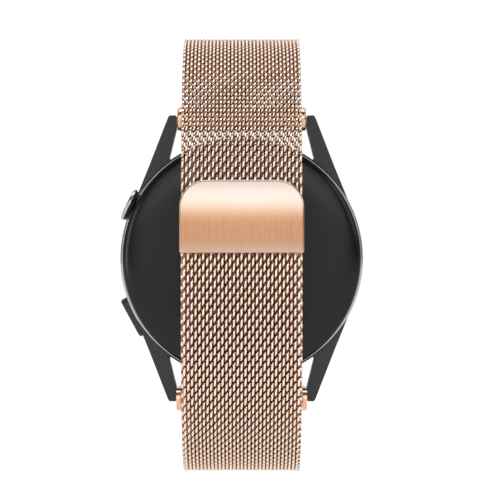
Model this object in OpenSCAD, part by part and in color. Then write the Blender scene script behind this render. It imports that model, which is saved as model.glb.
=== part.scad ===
// Round smartwatch on a closed loop band of woven metal with a magnetic clasp.
// Origin: centre of the contact face on the case back. +Z: 12 o'clock. +Y: display side.
// The crown and the side button are on -X. All sizes are in millimetres.

/* [Case] */
// Outer radius of the case
case_r = 20.6; // [20:0.1:21.2]
// Depth at which the middle case starts, behind the back face
mid_start = 2.6; // [2.4:0.1:2.8]
// Depth at which the middle case ends and the bezel begins
mid_end = 8.6; // [8.5:0.1:8.8]
// Depth of the outer face of the front glass
glass_front = 10.9; // [10.7:0.1:11.4]
// Radius of the cavity inside the middle case
cavity_r = 18.6; // [18.5:0.1:18.7]
// Depth of the line on which the crown and the button lie
control_depth = 5.6; // [5.4:0.1:5.8]

/* [Controls] */
// Angle of the crown, from +X towards +Z, in degrees
crown_angle = 154.5; // [152:0.5:157]
// Radius of the crown knob
crown_r = 2.9; // [2.6:0.1:2.9]
// Angle of the side button, from +X towards +Z, in degrees
button_angle = 208.5; // [206:0.5:211]
// Length of the side button
button_len = 7.1; // [6:0.1:8]
// Travel of the crown and of the side button
press_travel = 0.4; // [0.2:0.05:0.4]

/* [Lugs] */
// Gap between the lugs, where a band end fits
lug_gap = 22; // [22:0.1:22.3]
// Distance of each spring bar from the middle of the case, along Z
bar_z = 22.9; // [22.8:0.1:23.1]
// Depth of the spring bars
bar_depth = 2.4; // [2.2:0.1:2.6]

/* [Band] */
// Width of the woven band
band_w = 18.6; // [17:0.1:18.8]
// Thickness of the woven band
band_t = 1.1; // [0.9:0.05:1.15]
// Distance between the middles of the two layers of band
layer_pitch = 1.55; // [1.5:0.05:1.6]
// Depth of the middle of the inner layer at the front of the loop
front_y = -44.5; // [-48:0.5:-42]
// Furthest reach of the middle of the band above the case middle
reach_top = 35.3; // [34:0.1:37]
// Furthest reach of the middle of the inner layer below the case middle
reach_bottom = 32.3; // [31.5:0.1:34]
// Angle to which the clasp tail opens
clasp_opening = 60; // [40:5:60]

/* [Clasp] */
// Width of the clasp tab
tab_w = 18.9; // [18.6:0.1:19.4]
// Lower edge of the clasp tab
tab_low = 0.8; // [0:0.1:2]
// Height of the clasp tab
tab_h = 11.1; // [10:0.1:12]
// Radius of the clasp tab's rounded corners
tab_corner = 4; // [2:0.1:5]

/* [Hidden] */

$fn = 48;
tiny = 0.01;

// Stack of the case, as depths behind the back face
back_face = 1;
cover_floor = 2.3;
cover_r = 20.2;
cover_round = 1.6;
coil_depth = 2.35;
ferrite_depth = 2.8;
battery_depth = 3.2;
battery_h = 3.2;
battery_r = 12;
frame_depth = 4.2;
board_depth = 7;
board_t = 0.6;
board_r = 17.5;
panel_depth = 8.5;
panel_t = 0.8;
panel_r = 17.2;
glass_depth = 9.35;
glass_r = 18.9;
lip_r = 17.4;
lip_t = 0.35;
bezel_top = 10.4;
frame_in = 12.4;
frame_out = 18.3;
screw_angles = [45, 110, 255];
screw_circle = 17;
motor_angle = 285;
speaker_angle = 0;
microphone_angle = 142.4;

// Crown and button, as distances from the middle of the case
knob_seat = 19.9;
knob_in = 20.35;
knob_out = 21.7;
stem_end = 16.9;
stem_r = 0.72;
tube_bore = 0.75;
tube_r = 1.25;
cap_seat = 19.8;
cap_in = 20.25;
cap_out = 21.65;
cap_h = 2.6;
post_r = 0.6;
post_end = 16.9;
switch_face = 16.4;

// Band ends
tube_out_r = 2;
tube_half = 10.9;
tube_off = 0.7;
tube_z = bar_z + tube_off;
barrel_r = 0.9;
barrel_bore = 0.65;
barrel_half = 10.2;
pin_r = 0.45;
pin_reach = 11.85;
lug_hole_r = 0.5;
lever_x = 7.6;
lever_r = 0.38;
lever_reach = 2.5;
lever_angle = 30;
release_travel = 1.3;
spring_r = 0.42;
spring_wire = 0.13;
spring_from = 1;
spring_turns = 7;

// Slot frame: its outer bar, round which the band folds
fold_y = -4;
fold_z = tube_z;
fold_bar_r = 1.5;
rail_t = 1.15;
fold_r = 2.2;

// Band path. Each half leaves the flat front, turns round the front corner,
// runs up the side and leads in to the lug.
corner_r = 22;
corner_turn = 50;
lead_turn = 50;
top_lead_r = 13;
low_lead_r = 10;
side_turn = 90 - corner_turn;
corner_in = corner_r * (1 - cos(corner_turn));
corner_up = corner_r * sin(corner_turn);

top_lead = (reach_top - tube_z - top_lead_r * (1 - cos(lead_turn))) / sin(lead_turn);
top_ext_y = bar_depth - top_lead * cos(lead_turn) - top_lead_r * sin(lead_turn);
top_side_r = (top_ext_y - front_y - corner_in) / cos(corner_turn);
top_flat = reach_top - corner_up - top_side_r * (1 - sin(corner_turn));

touch_z = fold_z - fold_r * cos(lead_turn);
touch_y = fold_y - fold_r * sin(lead_turn);
low_lead = (reach_bottom - low_lead_r * (1 - cos(lead_turn)) - touch_z) / sin(lead_turn);
low_ext_y = touch_y - low_lead * cos(lead_turn) - low_lead_r * sin(lead_turn);
low_side_r = (low_ext_y - front_y - corner_in) / cos(corner_turn);
low_flat = reach_bottom - corner_up - low_side_r * (1 - sin(corner_turn));

// The tail lies one layer outside and meets the fold on its far side
tail_lead_r = low_lead_r + layer_pitch;
centre_dist = norm([fold_z - reach_bottom + low_lead_r, fold_y - low_ext_y]);
centre_angle = atan2(fold_y - low_ext_y, fold_z - reach_bottom + low_lead_r);
tail_tilt = acos((tail_lead_r - fold_r) / centre_dist);
tail_turn = centre_angle - tail_tilt;
tail_lead = centre_dist * sin(tail_tilt);
tail_wrap = 70;
open_margin = 10;
band_wrap = 180 + lead_turn - tail_turn - tail_wrap - clasp_opening - open_margin;

// Where the band bends: the upper and the lower front corner, as [y, z]
bend_up = [front_y + corner_in, top_flat + corner_up];
bend_low = [front_y + corner_in, -low_flat - corner_up];
tail_bend = bend_low + layer_pitch * [-cos(corner_turn), -sin(corner_turn)];
side_heading = 90 - corner_turn;
lead_heading = side_heading - side_turn - lead_turn;
bend_gap = 0.15;
tail_gap = 0.22;
bend_step = 4;

// Clasp, as y positions
tab_front = -48;
tab_back = -45.12;
backing_t = 0.38;
tail_y = front_y - layer_pitch;
tongue_w = 16.4;
tongue_h = 2.2;
tab_wall = 0.6;

// ---- helpers -------------------------------------------------------------

// An outline in x and z, filling the depths from d0 to d1
module slab(d0, d1) {
    translate([0, d1, 0]) rotate([90, 0, 0]) linear_extrude(height = d1 - d0) children();
}

// A profile in radius and depth, turned about the case's own axis
module turned() {
    rotate([-90, 0, 0]) rotate_extrude() children();
}

// A plain ring about the case's axis
module ring(r_in, r_out, d0, d1) {
    turned() translate([r_in, d0]) square([r_out - r_in, d1 - d0]);
}

// A place on the case's side: local z points out, x runs round, y is depth
module at_side(angle, dist, depth = control_depth) {
    rotate([0, -angle, 0]) translate([dist, depth, 0]) rotate([0, 90, 0]) children();
}

// A block whose local x and y are centred and whose z starts at zero
module block(size) {
    translate([-size[0] / 2, -size[1] / 2, 0]) cube(size);
}

// A bar or hole along x, from x0 to x1, at depth y and height z
module x_rod(r, x0, x1, y, z) {
    translate([x0, y, z]) rotate([0, 90, 0]) cylinder(r = r, h = x1 - x0);
}

// A rounded slot, or pad, with its round ends along local x
module pill(len, width, h) {
    straight = len - width;
    block([straight, width, h]);
    for (side = [-1, 1]) translate([side * straight / 2, 0, 0]) cylinder(r = width / 2, h = h);
}

// A band path is a list of pieces, each [length, 0] for a straight or [radius, turn] for a bend.
// Headings are angles from +y towards +z, and a positive turn goes left.
function ahead(heading) = [cos(heading), sin(heading)];
function left_of(heading) = [-sin(heading), cos(heading)];
function after(point, heading, piece) = piece[1] == 0 ? point + piece[0] * ahead(heading)
    : point + sign(piece[1]) * piece[0] * (left_of(heading) - left_of(heading + piece[1]));
function piece_points(point, heading, piece, off) =
    let (steps = piece[1] == 0 ? 1 : ceil(abs(piece[1]) / bend_step))
    [for (k = [0 : steps - 1]) let (turned = piece[1] * k / steps)
        (k == 0 ? point : after(point, heading, [piece[0], turned])) + off * left_of(heading + turned)];
function side_points(point, heading, pieces, off, i = 0) =
    i == len(pieces) ? [point + off * left_of(heading)]
    : concat(piece_points(point, heading, pieces[i], off),
        side_points(after(point, heading, pieces[i]), heading + pieces[i][1], pieces, off, i + 1));

// A band that follows a path from a point [y, z] and a heading
module band(point, heading, pieces, width = band_w, thick = band_t) {
    left = side_points(point, heading, pieces, thick / 2);
    right = side_points(point, heading, pieces, -thick / 2);
    translate([-width / 2, 0, 0]) rotate([90, 0, 90]) linear_extrude(height = width)
        polygon(concat(left, [for (i = [len(right) - 1 : -1 : 0]) right[i]]));
}

// The same, less a small gap before its first bend
module band_after_gap(point, heading, pieces, gap) {
    gap_turn = sign(pieces[0][1]) * gap / pieces[0][0] * 180 / PI;
    rest = [for (i = [0 : len(pieces) - 1])
        i == 0 ? [pieces[0][0], pieces[0][1] - gap_turn] : pieces[i]];
    band(after(point, heading, [pieces[0][0], gap_turn]), heading + gap_turn, rest);
}

// ---- case ----------------------------------------------------------------

module lug_outline() {
    polygon([[16.5, 4.5], [19.2, 7.2], [17.5, 11.4], [15.9, 15.3], [14.7, 18.3], [12.45, 23.9],
        [12.2, 24.2], [11.2, 24.2], [11, 24], [11, 22], [12.3, 17.2], [10.5, 14]]);
}

module lug_side_shape() {
    polygon([[3.2, 0], [3.2, 15.5], [1.1, 23.4], [1.2, 24.3], [3.6, 24.3], [7.8, 18.5],
        [8.2, 12], [8.2, 0]]);
}

module lug() {
    intersection() {
        slab(0, mid_end) lug_outline();
        rotate([90, 0, 90]) linear_extrude(height = case_r) lug_side_shape();
    }
}

module middle_case_body() {
    turned() polygon([[cavity_r, mid_start], [20.25, mid_start], [case_r, 3.15],
        [case_r, mid_end - 0.5], [20.3, mid_end], [cavity_r, mid_end]]);
    difference() {
        for (sx = [0, 1], sz = [0, 1]) mirror([sx, 0, 0]) mirror([0, 0, sz]) lug();
        translate([0, -tiny, 0]) rotate([-90, 0, 0]) cylinder(r = case_r - 1, h = 12);
    }
    for (a = screw_angles) rotate([0, -a, 0]) translate([screw_circle, 4.1, 0])
        rotate([-90, 0, 0]) {
            cylinder(r = 1.4, h = 1.1);
            translate([0, -1.2, 0]) cube([cavity_r - screw_circle + 0.2, 2.4, 1.1]);
        }
}

module middle_case() {
    color([0.2, 0.2, 0.21]) difference() {
        middle_case_body();
        at_side(crown_angle, 18) cylinder(r = tube_r, h = 4);
        at_side(crown_angle, knob_seat) cylinder(r = crown_r + 0.2, h = 3);
        at_side(button_angle, cap_seat) pill(button_len + 0.3, cap_h + 0.3, 3);
        at_side(button_angle, 18) cylinder(r = post_r + 0.05, h = 4);
        at_side(microphone_angle, 18) pill(1.6, 0.6, 4);
        for (a = [-6, 0, 6]) at_side(speaker_angle + a, 18) pill(1.6, 0.6, 4);
        for (a = screw_angles) rotate([0, -a, 0]) translate([screw_circle, 4, 0])
            rotate([-90, 0, 0]) cylinder(r = 0.5, h = 2);
        for (z = [-bar_z, bar_z], side = [-1, 1]) x_rod(lug_hole_r,
            side > 0 ? lug_gap / 2 - 0.5 : -lug_gap / 2 - 0.95,
            side > 0 ? lug_gap / 2 + 0.95 : -lug_gap / 2 + 0.5, bar_depth, z);
    }
}

module back_cover() {
    flat_r = cover_r - cover_round;
    color([0.2, 0.2, 0.2]) difference() {
        turned() {
            difference() {
                union() {
                    translate([8.4, back_face]) square([flat_r - 8.4, mid_start - back_face]);
                    translate([flat_r, back_face + cover_round]) intersection() {
                        circle(r = cover_round);
                        translate([0, -cover_round]) square([cover_round, cover_round]);
                    }
                    translate([17.5, mid_start - 0.1]) square([0.7, 0.9]);
                }
                translate([8.3, cover_floor]) square([9.2, 1]);
                translate([8.3, back_face - 0.1]) square([9.45 - 8.3, 0.9]);
            }
        }
        for (side = [0, 1]) mirror([0, 0, side]) electrode(0.02);
    }
}

// One curved electrode above the sensor window, with a gap added round it
module electrode(gap) {
    sweep = 36 + gap;
    rotate([-90, 0, 0]) rotate([0, 0, -90 - sweep]) rotate_extrude(angle = 2 * sweep)
        translate([10.2 - gap, 0.92]) square([1.4 + 2 * gap, 0.4 + gap]);
}

module skin_electrodes() {
    color([0.75, 0.75, 0.77]) for (side = [0, 1]) mirror([0, 0, side]) electrode(0);
}

module back_gasket() {
    color([0.1, 0.1, 0.1]) ring(18.2, cavity_r, 2.65, 3.3);
}

module sensor_window() {
    color([0.05, 0.05, 0.06]) turned()
        polygon([[0, 0], [6.2, 0], [8, 0.3], [9.4, 0.9], [9.4, 1.78], [0, 1.78]]);
}

module light_shroud() {
    color([0.08, 0.08, 0.08]) difference() {
        ring(0, 8.2, 1.83, 2.35);
        translate([0, 1.7, 0]) rotate([-90, 0, 0]) cylinder(r = 2.2, h = 1);
        for (a = [0 : 90 : 270]) rotate([0, a, 0]) translate([5, 1.7, 0])
            rotate([-90, 0, 0]) cylinder(r = 1.5, h = 1);
    }
}

module optical_sensors() {
    color([0.2, 0.7, 0.3]) translate([-1.2, 1.9, -1.2]) cube([2.4, 0.49, 2.4]);
    color([0.15, 0.12, 0.1]) for (a = [0 : 90 : 270]) rotate([0, a, 0])
        translate([4.1, 1.9, -0.9]) cube([1.8, 0.49, 1.8]);
}

module sensor_board() {
    color([0.05, 0.3, 0.15]) ring(0, 8.2, 2.4, 2.9);
}

module charging_coil() {
    color([0.75, 0.4, 0.2]) ring(9, 13.5, coil_depth, coil_depth + 0.4);
}

module ferrite_sheet() {
    color([0.3, 0.3, 0.32]) ring(8.8, 14, ferrite_depth, ferrite_depth + 0.25);
}

module battery() {
    color([0.55, 0.57, 0.6]) turned() polygon([[0, battery_depth], [battery_r - 0.3, battery_depth],
        [battery_r, battery_depth + 0.3], [battery_r, battery_depth + battery_h - 0.3],
        [battery_r - 0.3, battery_depth + battery_h], [0, battery_depth + battery_h]]);
}

module inner_frame() {
    color([0.12, 0.12, 0.13]) difference() {
        ring(frame_in, frame_out, frame_depth, board_depth - 0.05);
        at_side(crown_angle, 12) block([7, 6, 8]);
        at_side(button_angle, 12) block([7, 6, 8]);
        at_side((crown_angle + button_angle) / 2, 12) block([10.6, 6, 8]);
        at_side(microphone_angle, 14.5) block([2.8, 6, 8]);
        at_side(motor_angle, 13) block([9.4, 6, 4.6]);
        at_side(speaker_angle, 13) block([8.4, 6, 4.7]);
        for (a = [-6, 0, 6]) at_side(speaker_angle + a, 17) pill(1.6, 0.6, 4);
        for (a = screw_angles) rotate([0, -a, 0]) translate([screw_circle, 4, 0])
            rotate([-90, 0, 0]) union() {
                cylinder(r = 1.6, h = 1.25);
                translate([-0.2, -1.6, 0]) cube([3, 3.2, 1.25]);
                cylinder(r = 0.6, h = 4);
            }
    }
}

module frame_screws() {
    color([0.7, 0.7, 0.72]) for (a = screw_angles) rotate([0, -a, 0])
        translate([screw_circle, 0, 0]) rotate([-90, 0, 0]) difference() {
            union() {
                translate([0, 0, 4.25]) cylinder(r = 0.47, h = board_depth + board_t - 4.2);
                translate([0, 0, board_depth + board_t + 0.01]) cylinder(r = 0.95, h = 0.45);
            }
            translate([-0.6, -0.12, board_depth + board_t + 0.25]) cube([1.2, 0.24, 1]);
            translate([-0.12, -0.6, board_depth + board_t + 0.25]) cube([0.24, 1.2, 1]);
        }
}

module main_board() {
    color([0.04, 0.28, 0.16]) difference() {
        ring(0, board_r, board_depth, board_depth + board_t);
        for (a = screw_angles) rotate([0, -a, 0]) translate([screw_circle, 6, 0])
            rotate([-90, 0, 0]) {
                cylinder(r = 0.6, h = 3);
                translate([0, -0.6, 0]) cube([2, 1.2, 3]);
            }
    }
}

module main_chips() {
    chip_depth = board_depth + board_t + 0.01;
    color([0.08, 0.08, 0.09]) for (c = [[-6, 3, 7, 7], [3, 4, 5, 6], [-5, -5, 5, 4], [3, -4, 6, 4]])
        translate([c[0] - c[2] / 2, chip_depth, c[1] - c[3] / 2]) cube([c[2], 0.4, c[3]]);
}

module board_shield() {
    shield_depth = board_depth + board_t + 0.01;
    color([0.72, 0.72, 0.7]) difference() {
        translate([-11, shield_depth, -8.5]) cube([19, 0.75, 17]);
        translate([-10.8, shield_depth - 1, -8.3]) cube([18.6, 1.6, 16.6]);
    }
}

module vibration_motor() {
    color([0.65, 0.65, 0.66]) at_side(motor_angle, 13.3, 5.5) {
        block([8.8, 2.3, 3.6]);
    }
}

module speaker() {
    color([0.2, 0.2, 0.2]) at_side(speaker_angle, 13.4, 5.5) difference() {
        block([7.8, 2.4, 4]);
        for (x = [-2, 0, 2]) translate([x, 0, 3.5]) pill(1.4, 0.8, 2);
    }
}

module microphone() {
    color([0.7, 0.6, 0.35]) at_side(microphone_angle, 15.6, 5.6) difference() {
        block([2.2, 1.6, 1.3]);
        translate([0, 0, 1.1]) cylinder(r = 0.25, h = 1);
    }
}

module antenna_strip() {
    color([0.8, 0.6, 0.25]) rotate([-90, 0, 0]) rotate([0, 0, -85]) rotate_extrude(angle = 60)
        translate([frame_out + 0.01, 5.4]) square([0.12, 1.3]);
}

module display_panel() {
    color([0.02, 0.02, 0.03]) ring(0, panel_r, panel_depth, panel_depth + panel_t);
}

module display_ribbon() {
    color([0.75, 0.5, 0.15]) translate([-3, 0, -14.6]) {
        translate([0, board_depth + board_t + 0.01, 0]) cube([6, 0.1, 3]);
        translate([0, board_depth + board_t + 0.01, 0]) cube([6, 0.88, 0.12]);
        translate([0, panel_depth - 0.11, 0]) cube([6, 0.1, 3]);
    }
}

module glass_gasket() {
    color([0.1, 0.1, 0.1]) ring(lip_r + 0.1, glass_r - 0.1, mid_end + lip_t, glass_depth);
}

module front_glass() {
    color([0.02, 0.02, 0.03]) turned() polygon([[0, glass_depth], [glass_r, glass_depth],
        [glass_r, bezel_top - 0.1], [glass_r - 0.6, glass_front - 0.1],
        [glass_r - 1.6, glass_front], [0, glass_front]]);
}

module bezel_ring() {
    color([0.24, 0.24, 0.25]) turned() polygon([[lip_r, mid_end], [20.3, mid_end],
        [case_r - 0.1, mid_end + 0.3], [case_r - 0.1, bezel_top - 0.7], [19.9, bezel_top],
        [glass_r + 0.05, bezel_top], [glass_r + 0.05, mid_end + lip_t], [lip_r, mid_end + lip_t]]);
}

// ---- crown and side button -------------------------------------------------

module switch_bracket() {
    bracket_r = 14.3;
    overhang = 13;
    sweep = button_angle - crown_angle + 2 * overhang;
    color([0.7, 0.7, 0.7]) rotate([-90, 0, 0]) rotate([0, 0, -button_angle - overhang])
        rotate_extrude(angle = sweep) translate([bracket_r, 4.4]) square([0.3, 2.4]);
}

module crown_tube() {
    tube_in = 18.25;
    color([0.75, 0.75, 0.77]) at_side(crown_angle, tube_in) difference() {
        cylinder(r = tube_r, h = knob_seat - tube_in - tiny);
        translate([0, 0, -1]) cylinder(r = tube_bore, h = 5);
    }
}

module press_switch(angle) {
    at_side(angle, 14.62) {
        color([0.15, 0.15, 0.16]) block([2.8, 2.2, 1.3]);
        color([0.8, 0.8, 0.8]) cylinder(r = 0.6, h = switch_face - 14.62);
    }
}

module crown_switch() {
    press_switch(crown_angle);
}

module side_button_switch() {
    press_switch(button_angle);
}

module rotation_sensor() {
    color([0.1, 0.1, 0.1]) at_side(crown_angle, 17.1, control_depth - 1.75) block([1.6, 0.7, 0.9]);
}

module crown_thrust_cap() {
    color([0.85, 0.85, 0.83]) at_side(crown_angle, switch_face + press_travel + 0.02) difference() {
        cylinder(r = 1, h = 0.5);
        translate([0, 0, 0.2]) cylinder(r = stem_r + 0.06, h = 2);
    }
}

module crown_knob() {
    flutes = 40;
    color([0.3, 0.3, 0.31]) at_side(crown_angle, 0) difference() {
        union() {
            translate([0, 0, knob_in]) cylinder(r1 = crown_r - 0.15, r2 = crown_r, h = 0.2);
            translate([0, 0, knob_in + 0.2]) cylinder(r = crown_r, h = 0.85);
            translate([0, 0, knob_in + 1.05])
                cylinder(r1 = crown_r, r2 = crown_r - 0.45, h = knob_out - knob_in - 1.05);
            translate([0, 0, stem_end + 0.15]) cylinder(r = stem_r, h = knob_in - stem_end);
        }
        for (i = [0 : flutes - 1]) rotate([0, 0, i * 360 / flutes])
            translate([crown_r + 0.06, 0, knob_in + 0.1]) cylinder(r = 0.14, h = 1.1, $fn = 16);
        for (h = [18.9, 19.5]) translate([0, 0, h]) stem_groove(0.5, 0.3);
        translate([0, 0, 17.85]) stem_groove(0.5, 0.2);
    }
}

// A groove round a stem, down to a radius, with a height
module stem_groove(r, h) {
    difference() {
        cylinder(r = 2, h = h);
        translate([0, 0, -tiny]) cylinder(r = r, h = h + 2 * tiny);
    }
}

module crown_seals() {
    color([0.05, 0.05, 0.05]) at_side(crown_angle, 0) for (h = [19.05, 19.65])
        translate([0, 0, h]) rotate_extrude() translate([0.62, 0]) circle(r = 0.11, $fn = 24);
}

module snap_clip(dist) {
    translate([0, 0, dist]) difference() {
        cylinder(r = 1.15, h = 0.16);
        translate([0, 0, -1]) cylinder(r = 0.52, h = 3);
        translate([0, -0.4, -1]) cube([3, 0.8, 3]);
    }
}

module crown_clip() {
    color([0.7, 0.7, 0.7]) at_side(crown_angle, 0) snap_clip(17.87);
}

module side_button_cap() {
    color([0.22, 0.22, 0.23]) at_side(button_angle, 0) {
        translate([0, 0, cap_in]) pill(button_len, cap_h, cap_out - cap_in - 0.2);
        translate([0, 0, cap_out - 0.2]) pill(button_len - 0.3, cap_h - 0.3, 0.2);
        difference() {
            translate([0, 0, post_end]) cylinder(r = post_r, h = cap_in - post_end);
            translate([0, 0, 19.1]) stem_groove(0.4, 0.3);
            translate([0, 0, 17.85]) stem_groove(0.42, 0.2);
        }
    }
}

module side_button_seal() {
    color([0.05, 0.05, 0.05]) at_side(button_angle, 19.25) rotate_extrude()
        translate([0.51, 0]) circle(r = 0.1, $fn = 24);
}

module side_button_clip() {
    color([0.7, 0.7, 0.7]) at_side(button_angle, 17.87) difference() {
        cylinder(r = 1.05, h = 0.16);
        translate([0, 0, -1]) cylinder(r = 0.44, h = 3);
        translate([0, -0.35, -1]) cube([3, 0.7, 3]);
    }
}

// ---- band ends -------------------------------------------------------------
// Each end is drawn at 12 o'clock. The 6 o'clock one is its mirror image.

module lower_end() {
    mirror([0, 0, 1]) children();
}

// A rod from the bar's axis towards the wrist, where the release lever lies
module lever_rod(r, x) {
    translate([x, bar_depth, bar_z]) rotate([90 + lever_angle, 0, 0])
        cylinder(r = r, h = lever_reach);
}

// The room that the lever needs over its whole travel
module lever_slot() {
    slot_r = lever_r + 0.1;
    for (x = [lever_x - release_travel - 0.1, lever_x + 0.1]) lever_rod(slot_r, x);
    translate([lever_x - release_travel - 0.1, bar_depth, bar_z]) rotate([90 + lever_angle, 0, 0])
        translate([0, -slot_r, 0]) cube([release_travel + 0.2, 2 * slot_r, lever_reach]);
}

// The bored tube that sits between the lugs
module end_tube() {
    edge = 0.45;
    difference() {
        translate([0, bar_depth, tube_z]) rotate([0, 90, 0]) rotate_extrude() union() {
            translate([0, -tube_half]) square([tube_out_r - edge, 2 * tube_half]);
            translate([0, -tube_half + edge]) square([tube_out_r, 2 * tube_half - 2 * edge]);
            for (s = [-1, 1]) translate([tube_out_r - edge, s * (tube_half - edge)])
                circle(r = edge);
        }
        x_rod(barrel_r + 0.04, -12, 12, bar_depth, bar_z);
        lever_slot();
    }
}

module band_end_tube() {
    color([0.85, 0.6, 0.48]) difference() {
        end_tube();
        band([bar_depth, tube_z] - 1.1 * ahead(lead_heading), lead_heading, [[-3, 0]],
            band_w + 0.3, band_t + 0.1);
    }
}

module slot_frame() {
    color([0.85, 0.6, 0.48]) lower_end() {
        end_tube();
        x_rod(fold_bar_r, -tube_half + 0.3, tube_half - 0.3, fold_y, fold_z);
        for (s = [0, 1]) mirror([s, 0, 0]) difference() {
            translate([tube_half - rail_t, 0, fold_z]) rotate([0, 90, 0]) union() {
                translate([0, fold_y, 0]) cylinder(r = 1.9, h = rail_t);
                translate([-1.9, fold_y, 0]) cube([3.8, bar_depth - fold_y, rail_t]);
            }
            x_rod(barrel_r + 0.04, 5, 12, bar_depth, bar_z);
        }
    }
}

module bar_barrel() {
    difference() {
        x_rod(barrel_r, -barrel_half, barrel_half, bar_depth, bar_z);
        x_rod(barrel_bore, -8, 9.5, bar_depth, bar_z);
        x_rod(pin_r + 0.04, 9, 11, bar_depth, bar_z);
        x_rod(pin_r, -11, -7, bar_depth, bar_z);
        lever_slot();
    }
}

module fixed_pin() {
    x_rod(pin_r, -pin_reach, -8.1, bar_depth, bar_z);
    x_rod(barrel_bore - 0.02, -7.98, -7.4, bar_depth, bar_z);
    x_rod(pin_r, -8.2, -7.9, bar_depth, bar_z);
}

module release_pin() {
    body_r = barrel_bore - 0.04;
    x_rod(pin_r, 9, pin_reach, bar_depth, bar_z);
    x_rod(body_r, lever_x - 0.8, 9.45, bar_depth, bar_z);
    lever_rod(lever_r, lever_x);
}

// A coil spring inside the barrel, behind the sliding pin
module bar_spring() {
    len = lever_x - 0.85 - spring_from;
    translate([spring_from, bar_depth, bar_z]) rotate([0, 90, 0])
        linear_extrude(height = len, twist = -360 * spring_turns, slices = 9 * spring_turns, $fn = 8)
            translate([spring_r, 0]) circle(r = spring_wire);
}

module upper_bar_barrel() {
    color([0.7, 0.7, 0.72]) bar_barrel();
}

module upper_fixed_pin() {
    color([0.75, 0.75, 0.77]) fixed_pin();
}

module upper_release_pin() {
    color([0.75, 0.75, 0.77]) release_pin();
}

module upper_bar_spring() {
    color([0.6, 0.6, 0.62]) bar_spring();
}

module lower_bar_barrel() {
    color([0.7, 0.7, 0.72]) lower_end() bar_barrel();
}

module lower_fixed_pin() {
    color([0.75, 0.75, 0.77]) lower_end() fixed_pin();
}

module lower_release_pin() {
    color([0.75, 0.75, 0.77]) lower_end() release_pin();
}

module lower_bar_spring() {
    color([0.6, 0.6, 0.62]) lower_end() bar_spring();
}

// ---- woven band ------------------------------------------------------------

module upper_band() {
    color([0.8, 0.6, 0.48]) band_after_gap(bend_up, side_heading, [[top_side_r, -side_turn],
        [top_lead_r, -lead_turn], [top_lead - 1.15, 0]], bend_gap);
}

module front_band() {
    gap_turn = bend_gap / corner_r * 180 / PI;
    start = after(bend_up, side_heading + 180, [corner_r, gap_turn]);
    color([0.8, 0.6, 0.48]) band(start, side_heading + gap_turn + 180,
        [[corner_r, corner_turn - gap_turn], [top_flat + low_flat, 0],
            [corner_r, corner_turn - gap_turn]]);
}

module lower_band() {
    color([0.8, 0.6, 0.48]) band_after_gap(bend_low, -side_heading, [[low_side_r, side_turn],
        [low_lead_r, lead_turn], [low_lead, 0], [fold_r, -band_wrap]], bend_gap);
}

module tail_band() {
    color([0.8, 0.6, 0.48]) band_after_gap(tail_bend, -side_heading,
        [[low_side_r + layer_pitch, side_turn], [tail_lead_r, tail_turn], [tail_lead, 0],
            [fold_r, tail_wrap]], tail_gap);
}

module tail_end_band() {
    side_r = corner_r + layer_pitch;
    gap_turn = tail_gap / side_r * 180 / PI;
    start = after(tail_bend, 180 - side_heading, [side_r, -gap_turn]);
    color([0.8, 0.6, 0.48]) {
        band(start, 180 - side_heading - gap_turn,
            [[side_r, gap_turn - corner_turn], [low_flat + tab_low - 0.05, 0]]);
        band([tail_y, tab_low - 0.5], 90, [[tongue_h + 0.4, 0]], tongue_w, band_t - 0.2);
    }
}

// ---- clasp -----------------------------------------------------------------

// The tab's outline in x and z, drawn smaller all round by inset
module tab_outline(inset = 0) {
    w = tab_w - 2 * inset;
    low = tab_low + inset;
    high = tab_low + tab_h - inset;
    r = tab_corner - inset;
    translate([-w / 2, low]) square([w, high - low - r]);
    translate([-w / 2 + r, low]) square([w - 2 * r, high - low]);
    for (s = [-1, 1]) translate([s * (w / 2 - r), high - r]) circle(r = r);
}

module tab_cover() {
    backing_y = tab_back - backing_t;
    color([0.85, 0.6, 0.48]) difference() {
        union() {
            slab(tab_front + 0.25, backing_y) tab_outline();
            slab(tab_front, tab_front + 0.25) tab_outline(0.2);
        }
        slab(tab_front + tab_wall, backing_y + 1) tab_outline(tab_wall);
        translate([-tongue_w / 2 - 0.1, tail_y - band_t / 2, 0]) cube([tongue_w + 0.2, 5, 2]);
    }
}

module tab_magnet() {
    color([0.6, 0.6, 0.62]) translate([-7.5, -47.35, 3.7]) cube([15, 1.7, 6.6]);
}

module tab_backing() {
    color([0.75, 0.55, 0.45]) slab(tab_back - backing_t, tab_back) tab_outline(0.1);
}

middle_case();
back_cover();
back_gasket();
sensor_window();
skin_electrodes();
optical_sensors();
light_shroud();
sensor_board();
charging_coil();
ferrite_sheet();
battery();
inner_frame();
frame_screws();
main_board();
main_chips();
board_shield();
vibration_motor();
speaker();
microphone();
antenna_strip();
display_panel();
display_ribbon();
glass_gasket();
front_glass();
bezel_ring();
switch_bracket();
crown_tube();
crown_switch();
rotation_sensor();
crown_thrust_cap();
crown_knob();
crown_seals();
crown_clip();
side_button_cap();
side_button_seal();
side_button_clip();
side_button_switch();
band_end_tube();
upper_bar_barrel();
upper_fixed_pin();
upper_release_pin();
upper_bar_spring();
slot_frame();
lower_bar_barrel();
lower_fixed_pin();
lower_release_pin();
lower_bar_spring();
upper_band();
front_band();
lower_band();
tail_band();
tail_end_band();
tab_cover();
tab_magnet();
tab_backing();
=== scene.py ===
# %% [markdown]
# # A smartwatch on a woven metal band
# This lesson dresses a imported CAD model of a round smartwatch. The CAD bodies are the fixed frame:
# they give every position and every motion. Here the plain band becomes real woven wire, the clasp
# tab and the case get their fine edges, and every part gets a finish made of shader nodes.

# %% Load the frame
import math

import bmesh
import bpy
import numpy as np
from mathutils import Matrix, Vector


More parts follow.
